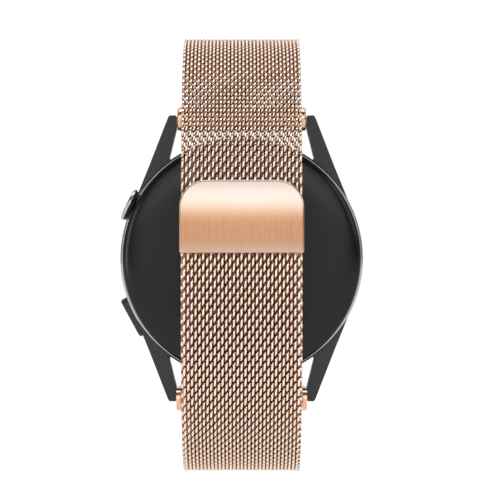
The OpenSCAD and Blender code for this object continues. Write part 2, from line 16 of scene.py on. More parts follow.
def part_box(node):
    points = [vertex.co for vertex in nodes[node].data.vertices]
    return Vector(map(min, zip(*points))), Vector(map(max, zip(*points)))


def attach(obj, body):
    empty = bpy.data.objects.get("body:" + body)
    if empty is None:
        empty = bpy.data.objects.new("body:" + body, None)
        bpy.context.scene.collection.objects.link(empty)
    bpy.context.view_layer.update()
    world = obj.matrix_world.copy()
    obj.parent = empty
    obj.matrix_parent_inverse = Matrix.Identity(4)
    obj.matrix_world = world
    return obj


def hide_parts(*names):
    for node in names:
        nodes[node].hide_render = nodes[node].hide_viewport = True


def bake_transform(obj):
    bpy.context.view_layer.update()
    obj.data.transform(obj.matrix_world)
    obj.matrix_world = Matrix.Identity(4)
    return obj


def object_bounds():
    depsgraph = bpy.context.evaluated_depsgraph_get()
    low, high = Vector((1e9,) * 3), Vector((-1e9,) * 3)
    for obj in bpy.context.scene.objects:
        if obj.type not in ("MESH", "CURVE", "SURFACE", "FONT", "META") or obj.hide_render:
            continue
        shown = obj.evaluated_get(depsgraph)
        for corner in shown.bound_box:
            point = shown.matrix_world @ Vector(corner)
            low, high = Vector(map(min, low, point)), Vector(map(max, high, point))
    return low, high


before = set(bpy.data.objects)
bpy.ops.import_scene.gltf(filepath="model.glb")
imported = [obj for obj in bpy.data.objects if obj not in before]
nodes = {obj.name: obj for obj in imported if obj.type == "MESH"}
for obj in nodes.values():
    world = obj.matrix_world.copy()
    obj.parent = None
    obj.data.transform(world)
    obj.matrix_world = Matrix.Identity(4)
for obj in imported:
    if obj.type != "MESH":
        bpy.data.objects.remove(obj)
cad_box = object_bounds()
MM = 0.001
print("CAD box in mm:", [[round(v / MM, 2) for v in corner] for corner in cad_box])

# %% [markdown]
# ## Camera
# The watch is seen square on from its clasp side, from about forty centimetres, so the far parts
# look a little smaller than the near ones. A long lens keeps that. The lens is shifted slightly,
# because the view is centred on the loop and not on the case.

# %% Camera
CAMERA_BACK = 0.461
CAMERA_LENS, SENSOR_WIDTH = 196.6, 36
CAMERA_SHIFT = 0.0166
scene = bpy.context.scene
camera = bpy.data.objects.new("camera", bpy.data.cameras.new("camera"))
scene.collection.objects.link(camera)
camera.location = (0, -CAMERA_BACK, 0)
camera.rotation_euler = (math.radians(90), 0, 0)
camera.data.lens = CAMERA_LENS
camera.data.sensor_width = SENSOR_WIDTH
camera.data.shift_x = camera.data.shift_y = CAMERA_SHIFT
camera.data.clip_start, camera.data.clip_end = 0.01, 20
scene.camera = camera
scene.view_settings.view_transform = "Standard"
print("camera stands", round(CAMERA_BACK / MM), "mm from the case back")

# %% [markdown]
# ## Floor and light
# Polished metal shows what is around it, so the light is built as a small studio: a pale floor, a
# room that is bright in front, dim half way round, a little lighter straight to the side and
# bright again behind, and soft boxes above and at the sides. The dim parts give the gold its
# depth of colour, the boxes give its shine, and the lighter side rounds the back shell's edge.

# %% Floor
# The floor lies below the reach of the opened clasp tail. It glows a little, so that it stays pale.
FLOOR_SIZE, FLOOR_DROP = 3.0, 24 * MM
FLOOR_GREY, FLOOR_ROUGHNESS = 0.3, 0.9
FLOOR_GLOW, FLOOR_GLOW_SEEN = 0.8, 0.9
floor_height = cad_box[0].z - FLOOR_DROP
bm = bmesh.new()
bmesh.ops.create_grid(bm, x_segments=1, y_segments=1, size=FLOOR_SIZE / 2)
bmesh.ops.translate(bm, verts=bm.verts, vec=(0, 0, floor_height))
floor_mesh = bpy.data.meshes.new("floor")
bm.to_mesh(floor_mesh)
bm.free()
floor = bpy.data.objects.new("floor", floor_mesh)
scene.collection.objects.link(floor)
floor_paint = bpy.data.materials.new("floor_paint")
floor_paint.use_nodes = True
paint = floor_paint.node_tree
shader = paint.nodes["Principled BSDF"]
shader.inputs["Base Color"].default_value = (FLOOR_GREY, FLOOR_GREY, FLOOR_GREY, 1)
shader.inputs["Roughness"].default_value = FLOOR_ROUGHNESS
shader.inputs["Emission Color"].default_value = (1, 1, 1, 1)
glow = paint.nodes.new("ShaderNodeMapRange")
glow.inputs["To Min"].default_value = FLOOR_GLOW
glow.inputs["To Max"].default_value = FLOOR_GLOW_SEEN
sight = paint.nodes.new("ShaderNodeLightPath")
paint.links.new(sight.outputs["Is Camera Ray"], glow.inputs["Value"])
paint.links.new(glow.outputs["Result"], shader.inputs["Emission Strength"])
floor_mesh.materials.append(floor_paint)
print("floor at", round(floor_height / MM, 2), "mm")

# %% Room light
# grey of the room at each place from the front, where the camera is (0), to the back (1)
ROOM = [(0.0, 1.0), (0.03, 0.9), (0.10, 0.3), (0.2, 0.08), (0.40, 0.08), (0.48, 0.6),
        (0.56, 0.1), (0.7, 0.4), (1.0, 0.8)]
ROOM_POWER, ROOM_POWER_SEEN = 1.2, 1.05
world = bpy.data.worlds.new("studio")
scene.world = world
world.use_nodes = True
tree = world.node_tree
tree.nodes.clear()
direction = tree.nodes.new("ShaderNodeTexCoord")
parts = tree.nodes.new("ShaderNodeSeparateXYZ")
tree.links.new(direction.outputs["Generated"], parts.inputs[0])
depth = tree.nodes.new("ShaderNodeMapRange")
depth.inputs["From Min"].default_value = -1
depth.inputs["From Max"].default_value = 1
tree.links.new(parts.outputs["Y"], depth.inputs["Value"])
shades = tree.nodes.new("ShaderNodeValToRGB")
ramp = shades.color_ramp
while len(ramp.elements) < len(ROOM):
    ramp.elements.new(0.5)
for element, (place, grey) in zip(ramp.elements, ROOM):
    element.position = place
    element.color = (grey, grey, grey, 1)
tree.links.new(depth.outputs["Result"], shades.inputs["Fac"])
lit = tree.nodes.new("ShaderNodeBackground")
tree.links.new(shades.outputs["Color"], lit.inputs["Color"])
lit.inputs["Strength"].default_value = ROOM_POWER
seen = tree.nodes.new("ShaderNodeBackground")
seen.inputs["Color"].default_value = (1, 1, 1, 1)
seen.inputs["Strength"].default_value = ROOM_POWER_SEEN
ray = tree.nodes.new("ShaderNodeLightPath")
mixed = tree.nodes.new("ShaderNodeMixShader")
tree.links.new(ray.outputs["Is Camera Ray"], mixed.inputs["Fac"])
tree.links.new(lit.outputs[0], mixed.inputs[1])
tree.links.new(seen.outputs[0], mixed.inputs[2])
output = tree.nodes.new("ShaderNodeOutputWorld")
tree.links.new(mixed.outputs[0], output.inputs["Surface"])
print("room shades from front to back:", [grey for _, grey in ROOM])


# %% Soft boxes
def soft_box(name, place, aim, size, power):
    """A rectangular area light at place, in metres, turned towards aim."""
    light = bpy.data.lights.new(name, "AREA")
    light.shape = "RECTANGLE"
    light.size, light.size_y = size
    light.energy = power
    lamp = bpy.data.objects.new(name, light)
    scene.collection.objects.link(lamp)
    lamp.location = place
    lamp.rotation_euler = (Vector(aim) - Vector(place)).to_track_quat("-Z", "Y").to_euler()
    return lamp


soft_box("top_box", (0, -0.50, 0.25), (0, 0, 0), (0.9, 0.31), 0.88)
soft_box("left_box", (-0.55, -0.30, 0.02), (0, 0, 0), (0.14, 0.5), 0.85)
soft_box("right_box", (0.5, -0.20, 0.25), (0, 0, 0), (0.2, 0.3), 0.35)
soft_box("over_box", (0, 0.05, 0.6), (0, 0, 0), (0.7, 0.3), 1.6)

# %% [markdown]
# ## Finishes
# Each finish is one material: a Principled shader whose colour, roughness and bump come from one
# shared node group. The group is a fine grain that can be stretched one way, which turns round
# speckle into brushing. Numbers that are the same all over a surface sit on the shader itself.


# %% Grain node group
# a colour Mix node's two colours and its result, by place, because their names repeat
MIX_A, MIX_B, MIX_RESULT = 6, 7, 2
FINE_DETAIL = 3
BROAD_SCALE, BROAD_DETAIL = 180, 2
TONE_FROM, TONE_TO = 0.35, 0.65


def grain_group():
    """Colour, roughness and height of a fine grain, on the piece's own coordinates."""
    group = bpy.data.node_groups.new("surface_grain", "ShaderNodeTree")
    face = group.interface
    face.new_socket("Place", in_out="INPUT", socket_type="NodeSocketVector")
    face.new_socket("Stretch", in_out="INPUT", socket_type="NodeSocketVector")
    face.new_socket("Scale", in_out="INPUT", socket_type="NodeSocketFloat")
    for name in ("Dark", "Light"):
        face.new_socket(name, in_out="INPUT", socket_type="NodeSocketColor")
    for name in ("Smooth", "Rough", "Smudge"):
        face.new_socket(name, in_out="INPUT", socket_type="NodeSocketFloat")
    face.new_socket("Color", in_out="OUTPUT", socket_type="NodeSocketColor")
    face.new_socket("Roughness", in_out="OUTPUT", socket_type="NodeSocketFloat")
    face.new_socket("Height", in_out="OUTPUT", socket_type="NodeSocketFloat")
    new, link = group.nodes.new, group.links.new
    given, given_out = new("NodeGroupInput"), new("NodeGroupOutput")
    stretched = new("ShaderNodeVectorMath")
    stretched.operation = "MULTIPLY"
    link(given.outputs["Place"], stretched.inputs[0])
    link(given.outputs["Stretch"], stretched.inputs[1])
    fine = new("ShaderNodeTexNoise")
    fine.inputs["Detail"].default_value = FINE_DETAIL
    link(stretched.outputs[0], fine.inputs["Vector"])
    link(given.outputs["Scale"], fine.inputs["Scale"])
    broad = new("ShaderNodeTexNoise")
    broad.inputs["Scale"].default_value = BROAD_SCALE
    broad.inputs["Detail"].default_value = BROAD_DETAIL
    link(given.outputs["Place"], broad.inputs["Vector"])
    tone = new("ShaderNodeMapRange")
    tone.inputs["From Min"].default_value = TONE_FROM
    tone.inputs["From Max"].default_value = TONE_TO
    link(fine.outputs["Fac"], tone.inputs["Value"])
    colour = new("ShaderNodeMix")
    colour.data_type = "RGBA"
    link(tone.outputs["Result"], colour.inputs["Factor"])
    link(given.outputs["Dark"], colour.inputs[MIX_A])
    link(given.outputs["Light"], colour.inputs[MIX_B])
    rough = new("ShaderNodeMapRange")
    link(tone.outputs["Result"], rough.inputs["Value"])
    link(given.outputs["Smooth"], rough.inputs["To Min"])
    link(given.outputs["Rough"], rough.inputs["To Max"])
    smudged = new("ShaderNodeMath")
    smudged.operation = "MULTIPLY_ADD"
    link(broad.outputs["Fac"], smudged.inputs[0])
    link(given.outputs["Smudge"], smudged.inputs[1])
    link(rough.outputs["Result"], smudged.inputs[2])
    link(colour.outputs[MIX_RESULT], given_out.inputs["Color"])
    link(smudged.outputs[0], given_out.inputs["Roughness"])
    link(fine.outputs["Fac"], given_out.inputs["Height"])
    return group


surface_grain = grain_group()
print("grain inputs:", [s.name for s in surface_grain.interface.items_tree if s.in_out == "INPUT"])


# %% Finish helper
BUMP_HEIGHT = 0.02 * MM


def finish(name, dark, light, rough, metallic=0.0, scale=6000, stretch=(1, 1, 1), bump=0.0,
           smudge=0.0, **sockets):
    """A material whose colour runs from dark to light and whose roughness runs over rough."""
    made = bpy.data.materials.new("finish_" + name)
    made.use_nodes = True
    new, link = made.node_tree.nodes.new, made.node_tree.links.new
    shader = made.node_tree.nodes["Principled BSDF"]
    place = new("ShaderNodeTexCoord")
    grain = new("ShaderNodeGroup")
    grain.node_tree = surface_grain
    link(place.outputs["Object"], grain.inputs["Place"])
    grain.inputs["Stretch"].default_value = stretch
    grain.inputs["Scale"].default_value = scale
    grain.inputs["Dark"].default_value = (*dark, 1)
    grain.inputs["Light"].default_value = (*light, 1)
    grain.inputs["Smooth"].default_value, grain.inputs["Rough"].default_value = rough
    grain.inputs["Smudge"].default_value = smudge
    link(grain.outputs["Color"], shader.inputs["Base Color"])
    link(grain.outputs["Roughness"], shader.inputs["Roughness"])
    shader.inputs["Metallic"].default_value = metallic
    if bump:
        raised = new("ShaderNodeBump")
        raised.inputs["Strength"].default_value = bump
        raised.inputs["Distance"].default_value = BUMP_HEIGHT
        link(grain.outputs["Height"], raised.inputs["Height"])
        link(raised.outputs["Normal"], shader.inputs["Normal"])
    for socket, value in sockets.items():
        shader.inputs[socket.replace("_", " ")].default_value = value
    return made


print("bump height of the grain:", BUMP_HEIGHT / MM, "mm")

# %% [markdown]
# The case is dark metal, blasted to a soft grey on the lugs and sides, and smoother on the back
# cover. Its edges are polished: the thin rim is a lighter copy of that polished metal, a painted
# highlight that brightens its glints, and the bezel round the glass keeps the darker metal.
# The crown's barrel is plain black, so that only its polished cap shines.

# %% Finishes of the case
finishes = {
    "case_metal": finish("case_metal", (0.040, 0.040, 0.042), (0.056, 0.056, 0.058), (0.42, 0.5),
                         metallic=0.6, bump=0.15, smudge=0.04),
    "cover_metal": finish("cover_metal", (0.007, 0.007, 0.0072), (0.012, 0.012, 0.0122),
                          (0.18, 0.22), metallic=0.5, bump=0.05, smudge=0.05),
    "polished_dark": finish("polished_dark", (0.42, 0.42, 0.43), (0.5, 0.5, 0.51),
                            (0.06, 0.1), metallic=1, smudge=0.03),
    # the rim's metal is a lighter copy of the bezel's: a painted highlight on its glints
    "rim_glint_metal": finish("rim_glint_metal", (0.42, 0.42, 0.43), (0.5, 0.5, 0.51), (0.1, 0.16),
                        metallic=1, smudge=0.03),
    "bezel_metal": finish("bezel_metal", (0.15, 0.15, 0.155), (0.2, 0.2, 0.205), (0.1, 0.16),
                          metallic=1, smudge=0.03),
    "crown_black": finish("crown_black", (0.006, 0.005, 0.004), (0.010, 0.009, 0.007),
                          (0.35, 0.42), smudge=0.05, Specular_IOR_Level=0.15),
    "black_glass": finish("black_glass", (0.006, 0.006, 0.007), (0.009, 0.009, 0.01),
                          (0.02, 0.04), smudge=0.02),
}
print("case finishes:", sorted(finishes))

# %% [markdown]
# The band's solid parts are rose-gold plated steel. The tubes and the slot frame are polished, and
# the clasp tab is brushed from top to bottom, so its grain is stretched a hundred times upwards.

# %% Finishes of the band
finishes.update({
    "rose_gold": finish("rose_gold", (0.78, 0.45, 0.28), (0.86, 0.52, 0.34), (0.14, 0.2),
                        metallic=1, smudge=0.06),
    "rose_gold_brushed": finish("rose_gold_brushed", (0.525, 0.28, 0.152), (0.58, 0.315, 0.18),
                                (0.24, 0.28), metallic=1, scale=9000, stretch=(1, 1, 0.01),
                                bump=0.04, smudge=0.01),
})
print("finishes so far:", len(finishes))

# %% [markdown]
# The parts inside the case are hidden until the watch is taken apart. They still get the finish
# that such parts have: copper for the coil, green lacquer for the boards, rubber for the seals.

# %% Finishes of the inner parts
finishes.update({
    "steel": finish("steel", (0.42, 0.42, 0.43), (0.6, 0.6, 0.62), (0.25, 0.35), metallic=1,
                    smudge=0.1),
    "copper": finish("copper", (0.6, 0.25, 0.12), (0.8, 0.38, 0.2), (0.3, 0.4), metallic=1,
                     scale=4000),
    "gold_film": finish("gold_film", (0.7, 0.5, 0.18), (0.85, 0.62, 0.26), (0.3, 0.45),
                        metallic=1),
    "ferrite": finish("ferrite", (0.09, 0.09, 0.1), (0.14, 0.14, 0.15), (0.7, 0.85), bump=0.3),
    "circuit_board": finish("circuit_board", (0.01, 0.1, 0.04), (0.03, 0.2, 0.09), (0.35, 0.5),
                            scale=1500, stretch=(1, 1, 6)),
    "chip_black": finish("chip_black", (0.02, 0.02, 0.02), (0.035, 0.035, 0.035), (0.5, 0.6),
                         bump=0.2),
    "frame_plastic": finish("frame_plastic", (0.04, 0.04, 0.043), (0.065, 0.065, 0.07),
                            (0.55, 0.65), bump=0.3),
    "seal_rubber": finish("seal_rubber", (0.02, 0.02, 0.02), (0.035, 0.035, 0.035),
                          (0.75, 0.85), bump=0.2),
    "cell_wrap": finish("cell_wrap", (0.28, 0.29, 0.31), (0.4, 0.41, 0.43), (0.35, 0.5),
                        metallic=0.7, scale=900, smudge=0.1),
    "magnet_metal": finish("magnet_metal", (0.45, 0.45, 0.46), (0.6, 0.6, 0.62), (0.2, 0.3),
                           metallic=1, smudge=0.1),
})
slot_of = {name: node.data.materials[0].name for name, node in nodes.items()}
# the plain CAD bands under the weave take the plain gold
finishes["rose_gold_woven"] = finishes["rose_gold"]
for name, node in nodes.items():
    node.data.materials[0] = finishes[slot_of[name]]
nodes["bezel_ring"].data.materials[0] = finishes["bezel_metal"]
print("nodes with a finish:", len(slot_of))

# %% [markdown]
# ## Woven band
# The real band is a Milanese weave: flat spirals of wire lie side by side across the band, and each
# spiral is threaded through the next, half a turn out of step. Nothing else holds it together.
# Each spiral is drawn here as its own wire along the band's real path, so the holes, the shine
# and the scalloped edges are true. A bump map could only hint at them.

# %% The band's path
# Headings are in degrees from +y towards +z, and lengths in millimetres. Each piece of the path
# is (length, 0) for a straight, or (radius, turn) for a bend, where a positive turn is to the left.
TUBE = Vector((2.4, 23.6))
LEAD_TURN, CORNER_TURN, TAIL_TURN = 50, 50, 33.88
SIDE_TURN = 90 - CORNER_TURN
STRAP = [(9.2113, 0), (13, LEAD_TURN), (36.0335, SIDE_TURN), (22, CORNER_TURN), (18.9829, 0),
         (22, CORNER_TURN), (27.7015, SIDE_TURN), (10, LEAD_TURN), (8.54, 0)]
TAIL = [(11.59, 0), (11.55, -TAIL_TURN), (29.2515, -SIDE_TURN), (23.55, -CORNER_TURN), (9.766, 0)]
FOLD = (2.2, -(180 + LEAD_TURN - TAIL_TURN))


def ahead(heading):
    """The unit step along a heading."""
    return Vector((math.cos(math.radians(heading)), math.sin(math.radians(heading))))


def left_of(heading):
    """The unit step to the left of a heading."""
    return Vector((-ahead(heading).y, ahead(heading).x))


def piece_end(point, heading, piece):
    """Where one piece of the path ends, and its heading there."""
    size, turn = piece
    if turn == 0:
        return point + size * ahead(heading), heading
    side = math.copysign(1, turn)
    return (point + side * size * (left_of(heading) - left_of(heading + turn)), heading + turn)


def piece_length(piece):
    return piece[0] if piece[1] == 0 else piece[0] * math.radians(abs(piece[1]))


path = []
point, heading, reached = TUBE, 180 - LEAD_TURN, 0.0
for piece in STRAP + [FOLD] + TAIL:
    path.append((reached, point, heading, piece))
    reached += piece_length(piece)
    point, heading = piece_end(point, heading, piece)
path_length = reached
starts = [p[0] for p in path]
print("band path", round(path_length, 1), "mm, ending at", [round(v, 2) for v in point])


# %% Places on the path
def on_path(along):
    """The point (y, z) and the heading at a distance along the path."""
    begin, point, heading, (size, turn) = next(
        p for p in reversed(path) if p[0] <= along or p is path[0])
    part = along - begin
    if turn == 0:
        return point + part * ahead(heading), heading
    turned = math.copysign(math.degrees(part / size), turn)
    return piece_end(point, heading, (size, turned))


for share in (0.25, 0.5, 0.75):
    spot, heading = on_path(share * path_length)
    print("at", share, "of the path:", [round(v, 1) for v in spot], "heading", round(heading))

# %% [markdown]
# One spiral is a flattened coil: sixteen turns across the band, each about as tall as two rows, so
# that it reaches into its neighbours. Its middle line is worked out in the band's own directions,
# across, along and out, and then laid on the path. The ends turn in at the band's edge.

# %% One spiral of wire
ROW_PITCH = 0.85
TURNS = 16
TURN_PITCH = 1.165
COIL_HEIGHT, COIL_DEPTH = 1.45, 0.72
WIRE = 0.21
STEPS = 12
# how far the wire swings sideways to stand upright where it shows, and how far in its ends turn
UPRIGHT, EDGE_INSET = 0.095, 0.25


def spiral_points(along, phase):
    """Middle line of one spiral, in metres, with the band's middle and outward way beside it."""
    points, middles, outward = [], [], []
    half_width = TURNS * TURN_PITCH / 2
    edge = half_width - EDGE_INSET
    for step in range(TURNS * STEPS + 1):
        angle = 2 * math.pi * step / STEPS + phase
        across = -half_width + TURN_PITCH * step / STEPS + UPRIGHT * math.sin(2 * angle)
        across = max(-edge, min(edge, across))
        spot, heading = on_path(along + COIL_HEIGHT / 2 * math.cos(angle))
        out = -left_of(heading)
        middles.append((across * MM, spot.x * MM, spot.y * MM))
        spot = spot + COIL_DEPTH / 2 * math.sin(angle) * out
        points.append((across * MM, spot.x * MM, spot.y * MM))
        outward.append((0, out.x, out.y))
    return points, middles, outward


print("points in a spiral:", len(spiral_points(20, 0)[0]))


# %% Proud wire
def mark_proud(mesh, middles, outward):
    """Stores how far each point of the wire stands out of the band's middle, from 0 to 1."""
    sides = len(mesh.vertices) // len(middles)
    place = np.empty(len(mesh.vertices) * 3)
    mesh.vertices.foreach_get("co", place)
    middles, outward = (np.repeat(np.array(a), sides, axis=0) for a in (middles, outward))
    height = np.abs(((place.reshape(-1, 3) - middles) * outward).sum(axis=1)) / MM
    proud = np.clip(height / (COIL_DEPTH / 2 + WIRE), 0, 1).astype(np.float32)
    mesh.attributes.new("proud", "FLOAT", "POINT").data.foreach_set("value", proud)


print("the wire stands out by up to", round(COIL_DEPTH / 2 + WIRE, 2), "mm")

# %% [markdown]
# A woven band looks bright where the wire bulges out, and brown in the recesses, which see only
# other wires. Light alone gives part of that. The rest is painted: the stored attribute mixes a
# brown painted shade into the finish in the recesses and on the wire's flanks, and the finish is
# paler than the gold, a painted highlight on the crests. The clasp tab gets a painted highlight
# the same way.


# %% Painted light and shade in the finishes
def paint_light_and_shade(made, attribute, colour, start, stop):
    """Turns a finish to another colour where an attribute falls from stop to start; here that paints
    shade and highlights.
    """
    new, link = made.node_tree.nodes.new, made.node_tree.links.new
    measure = new("ShaderNodeAttribute")
    measure.attribute_name = attribute
    share = new("ShaderNodeMapRange")
    share.interpolation_type = "SMOOTHSTEP"
    share.inputs["From Min"].default_value = start
    share.inputs["From Max"].default_value = stop
    link(measure.outputs["Fac"], share.inputs["Value"])
    tone = new("ShaderNodeMix")
    tone.data_type = "RGBA"
    tone.inputs[MIX_A].default_value = (*colour, 1)
    link(share.outputs["Result"], tone.inputs["Factor"])
    link(made.node_tree.nodes["Group"].outputs["Color"], tone.inputs[MIX_B])
    link(tone.outputs[MIX_RESULT], made.node_tree.nodes["Principled BSDF"].inputs["Base Color"])


# painted shade: brown where the wire lies back in the recesses and on its flanks, and the pale
# finish, a painted highlight, where the wire stands proud
PROUD_FROM, PROUD_TO = 0.35, 0.95
woven_gold = finish("rose_gold_woven", (0.90, 0.74, 0.60), (1.0, 0.90, 0.80), (0.13, 0.2),
                    metallic=1, scale=3000, smudge=0.05)
paint_light_and_shade(woven_gold, "proud", (0.44, 0.185, 0.08), PROUD_FROM, PROUD_TO)
# painted highlight: a pale colour where the tab leans back towards the lights above, and along its
# lower lip
paint_light_and_shade(finishes["rose_gold_brushed"], "flat", (0.68, 0.57, 0.51), 0.0, 1.0)
print("woven finish:", woven_gold.name)

# %% Rows of spirals
FIRST_ROW = 2.6
# the tail's spirals stand a quarter turn out of step, so that no hole is seen through two layers
TAIL_PHASE = math.pi / 2
ROWS = int((path_length - FIRST_ROW) / ROW_PITCH) + 1
# pieces of the path, by number: the front's straight, the fold and the side of the tail
FRONT_FLAT, FOLD_PIECE, TAIL_SIDE = 4, 9, 12
# the upper stretch ends a little way down the front
UPPER_ENDS = 5.0


def row_at(along):
    """Number of the spiral nearest to a distance along the path."""
    return round((along - FIRST_ROW) / ROW_PITCH)


upper_rows = row_at(starts[FRONT_FLAT] + UPPER_ENDS)
lower_rows = row_at(starts[FOLD_PIECE])
tail_rows = row_at(starts[TAIL_SIDE])
print("spirals in the band:", ROWS, "and the stretches end at", upper_rows, lower_rows, tail_rows)


# %% A stretch of band
# the wire's section is round enough at this distance, and its open ends have at most eight sides
WIRE_ROUNDNESS, MOST_SIDES = 1, 8


def woven_stretch(name, first, last):
    """Rows first to last - 1 of the band, as one mesh."""
    curve = bpy.data.curves.new(name, "CURVE")
    curve.dimensions = "3D"
    curve.bevel_depth = WIRE * MM
    curve.bevel_resolution = WIRE_ROUNDNESS
    middles, outward = [], []
    for row in range(first, last):
        phase = math.pi * (row % 2) + (TAIL_PHASE if row >= lower_rows else 0)
        points, middle, out = spiral_points(FIRST_ROW + row * ROW_PITCH, phase)
        middles += middle
        outward += out
        wire = curve.splines.new("POLY")
        wire.points.add(len(points) - 1)
        wire.points.foreach_set("co", [v for p in points for v in (*p, 1)])
    drawn = bpy.data.objects.new(name + "_wire", curve)
    scene.collection.objects.link(drawn)
    ready = drawn.evaluated_get(bpy.context.evaluated_depsgraph_get())
    mesh = bpy.data.meshes.new_from_object(ready)
    bpy.data.objects.remove(drawn)
    mesh.name = name
    mark_proud(mesh, middles, outward)
    bm = bmesh.new()
    bm.from_mesh(mesh)
    bmesh.ops.holes_fill(bm, edges=[e for e in bm.edges if e.is_boundary], sides=MOST_SIDES)
    bm.to_mesh(mesh)
    bm.free()
    mesh.polygons.foreach_set("use_smooth", [True] * len(mesh.polygons))
    mesh.materials.clear()
    mesh.materials.append(woven_gold)
    piece = bpy.data.objects.new(name, mesh)
    scene.collection.objects.link(piece)
    print(name, "rows", last - first, "triangles", sum(len(p.vertices) - 2 for p in mesh.polygons))
    return piece


upper_weave = woven_stretch("upper_weave", 0, upper_rows)
lower_weave = woven_stretch("lower_weave", upper_rows, lower_rows)
fold_weave = woven_stretch("fold_weave", lower_rows, tail_rows)
tail_weave = woven_stretch("tail_weave", tail_rows, ROWS)

# %% [markdown]
# The band bends where it is soft: at its two front corners, and round the bar where it folds back.
# For each stretch a line through its bend is worked out, and its transform is baked in.

# %% Bake the stretches in place
def at_bend(point, heading, reach):
    """A line through a bend, as its start and end points in metres."""
    step = reach * ahead(heading)
    return [(0, (point.x + s * step.x) * MM, (point.y + s * step.y) * MM) for s in (-1, 1)]


CORNER_REACH, FOLD_REACH, FOLD_HEADING = 7, 1.6, -96
UPPER_CORNER, LOWER_SIDE, TAIL_CORNER = 3, 6, 13
upper_bend, upper_heading = path[UPPER_CORNER][1:3]
lower_bend, lower_heading = path[LOWER_SIDE][1:3]
tail_bend, tail_heading = path[TAIL_CORNER][1:3]
fold_bar = Vector((-4, -23.6))
begin, end = at_bend(upper_bend, upper_heading, CORNER_REACH)
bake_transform(upper_weave)
begin, end = at_bend(lower_bend, lower_heading, CORNER_REACH)
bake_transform(lower_weave)
begin, end = at_bend(fold_bar, FOLD_HEADING, FOLD_REACH)
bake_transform(fold_weave)
begin, end = at_bend(tail_bend, tail_heading, CORNER_REACH)
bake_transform(tail_weave)
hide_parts("upper_band", "front_band")
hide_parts("lower_band")
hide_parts("tail_band")
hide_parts("tail_end_band")
print("bends at", [[round(v, 1) for v in p] for p in (upper_bend, lower_bend, tail_bend)])

# %% [markdown]
# ## Turned parts of the case
# The back shell, the case's polished rim and the crown are turned on a lathe. In Blender that is
# one outline spun once round an axis. The back shell is flat in the middle and rolls off over a
# wide soft shoulder, which is what gives the dark disc its shading.


# %% Turning helpers
MERGE_WITHIN = 0.0005
TURN_STEPS = 128


def finished_piece(name, bm, finish_name, sharp=35):
    """Makes an object of a bmesh drawn in millimetres, smooth but for its sharp edges."""
    bmesh.ops.remove_doubles(bm, verts=bm.verts, dist=MERGE_WITHIN)
    bmesh.ops.recalc_face_normals(bm, faces=bm.faces)
    for edge in bm.edges:
        edge.smooth = edge.calc_face_angle(0) < math.radians(sharp)
    for face in bm.faces:
        face.smooth = True
    bmesh.ops.scale(bm, verts=bm.verts, vec=(MM, MM, MM))
    mesh = bpy.data.meshes.new(name)
    bm.to_mesh(mesh)
    bm.free()
    mesh.materials.append(finishes[finish_name])
    piece = bpy.data.objects.new(name, mesh)
    scene.collection.objects.link(piece)
    print(name, "faces:", len(mesh.polygons))
    return piece


def turned(outline, gap_at=0.0, gap=0.0):
    """A closed outline of (radius, depth) points, spun round the case's axis but for a gap."""
    bm = bmesh.new()
    corners = [bm.verts.new((radius, depth, 0)) for radius, depth in outline]
    edges = [bm.edges.new((a, b)) for a, b in zip(corners, corners[1:] + corners[:1])]
    bmesh.ops.rotate(bm, verts=corners, cent=(0, 0, 0),
                     matrix=Matrix.Rotation(gap / 2 - gap_at, 3, "Y"))
    bmesh.ops.spin(bm, geom=corners + edges, axis=(0, 1, 0), cent=(0, 0, 0), dvec=(0, 0, 0),
                   angle=2 * math.pi - gap, steps=TURN_STEPS, use_merge=gap == 0)
    bmesh.ops.holes_fill(bm, edges=[e for e in bm.edges if e.is_boundary], sides=len(outline))
    return bm


print("a full turn has", TURN_STEPS, "steps")

# %% Back shell
SHOULDER_FROM, SHELL_EDGE, SHELL_BACK, SHELL_RIM = 14.6, 20.2, 1.0, 2.6
SHOULDER_STEPS = 16
shoulder = []
for step in range(SHOULDER_STEPS + 1):
    turn = math.radians(90 * step / SHOULDER_STEPS)
    shoulder.append((SHOULDER_FROM + (SHELL_EDGE - SHOULDER_FROM) * math.sin(turn),
                     SHELL_RIM - (SHELL_RIM - SHELL_BACK) * math.cos(turn)))
shell_outline = [(9.45, 1.8), (9.45, 1.05), (9.5, 1.0)] + shoulder + [
    (18.2, 2.6), (18.2, 3.4), (17.5, 3.4), (17.5, 2.3), (8.3, 2.3), (8.3, 1.8)]
back_shell = finished_piece("back_shell", turned(shell_outline), "cover_metal")
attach(back_shell, "case")
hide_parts("back_cover")

# %% [markdown]
# A thin polished rim runs between the back shell and the middle case. It is one small rounded
# outline spun nearly all the way round: it leaves a gap behind the crown, where the pressed cap
# would otherwise meet it.

# %% Polished rim
CROWN_ANGLE, CROWN_GAP = math.radians(154.5), math.radians(13)
rim_outline = [(20.22, 2.66), (20.225, 2.6), (20.27, 2.585), (20.33, 2.61), (20.62, 3.08),
               (20.635, 3.16), (20.60, 3.22), (20.3, 3.2)]
case_rim = finished_piece("case_rim", turned(rim_outline, CROWN_ANGLE, CROWN_GAP),
                          "rim_glint_metal", 60)
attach(case_rim, "case")

# %% [markdown]
# The crown is a black barrel with a polished cap, which stands out of the case's side. Both are
# turned on the crown's own axis, standing up, and are then laid into place by one matrix. The cap's
# outline has a round lip, because that lip is what catches the light.

# %% Crown
CONTROL_DEPTH, CROWN_STEPS = 5.6, 64


def beside_case(angle):
    """A frame on the case's side: z points out of the case and y is depth, in millimetres."""
    out = Vector((math.cos(angle), 0, math.sin(angle)))
    across = Vector((math.sin(angle), 0, -math.cos(angle)))
    frame_axes = Matrix((across, (0, 1, 0), out)).transposed().to_4x4()
    return Matrix.Translation((0, CONTROL_DEPTH, 0)) @ frame_axes


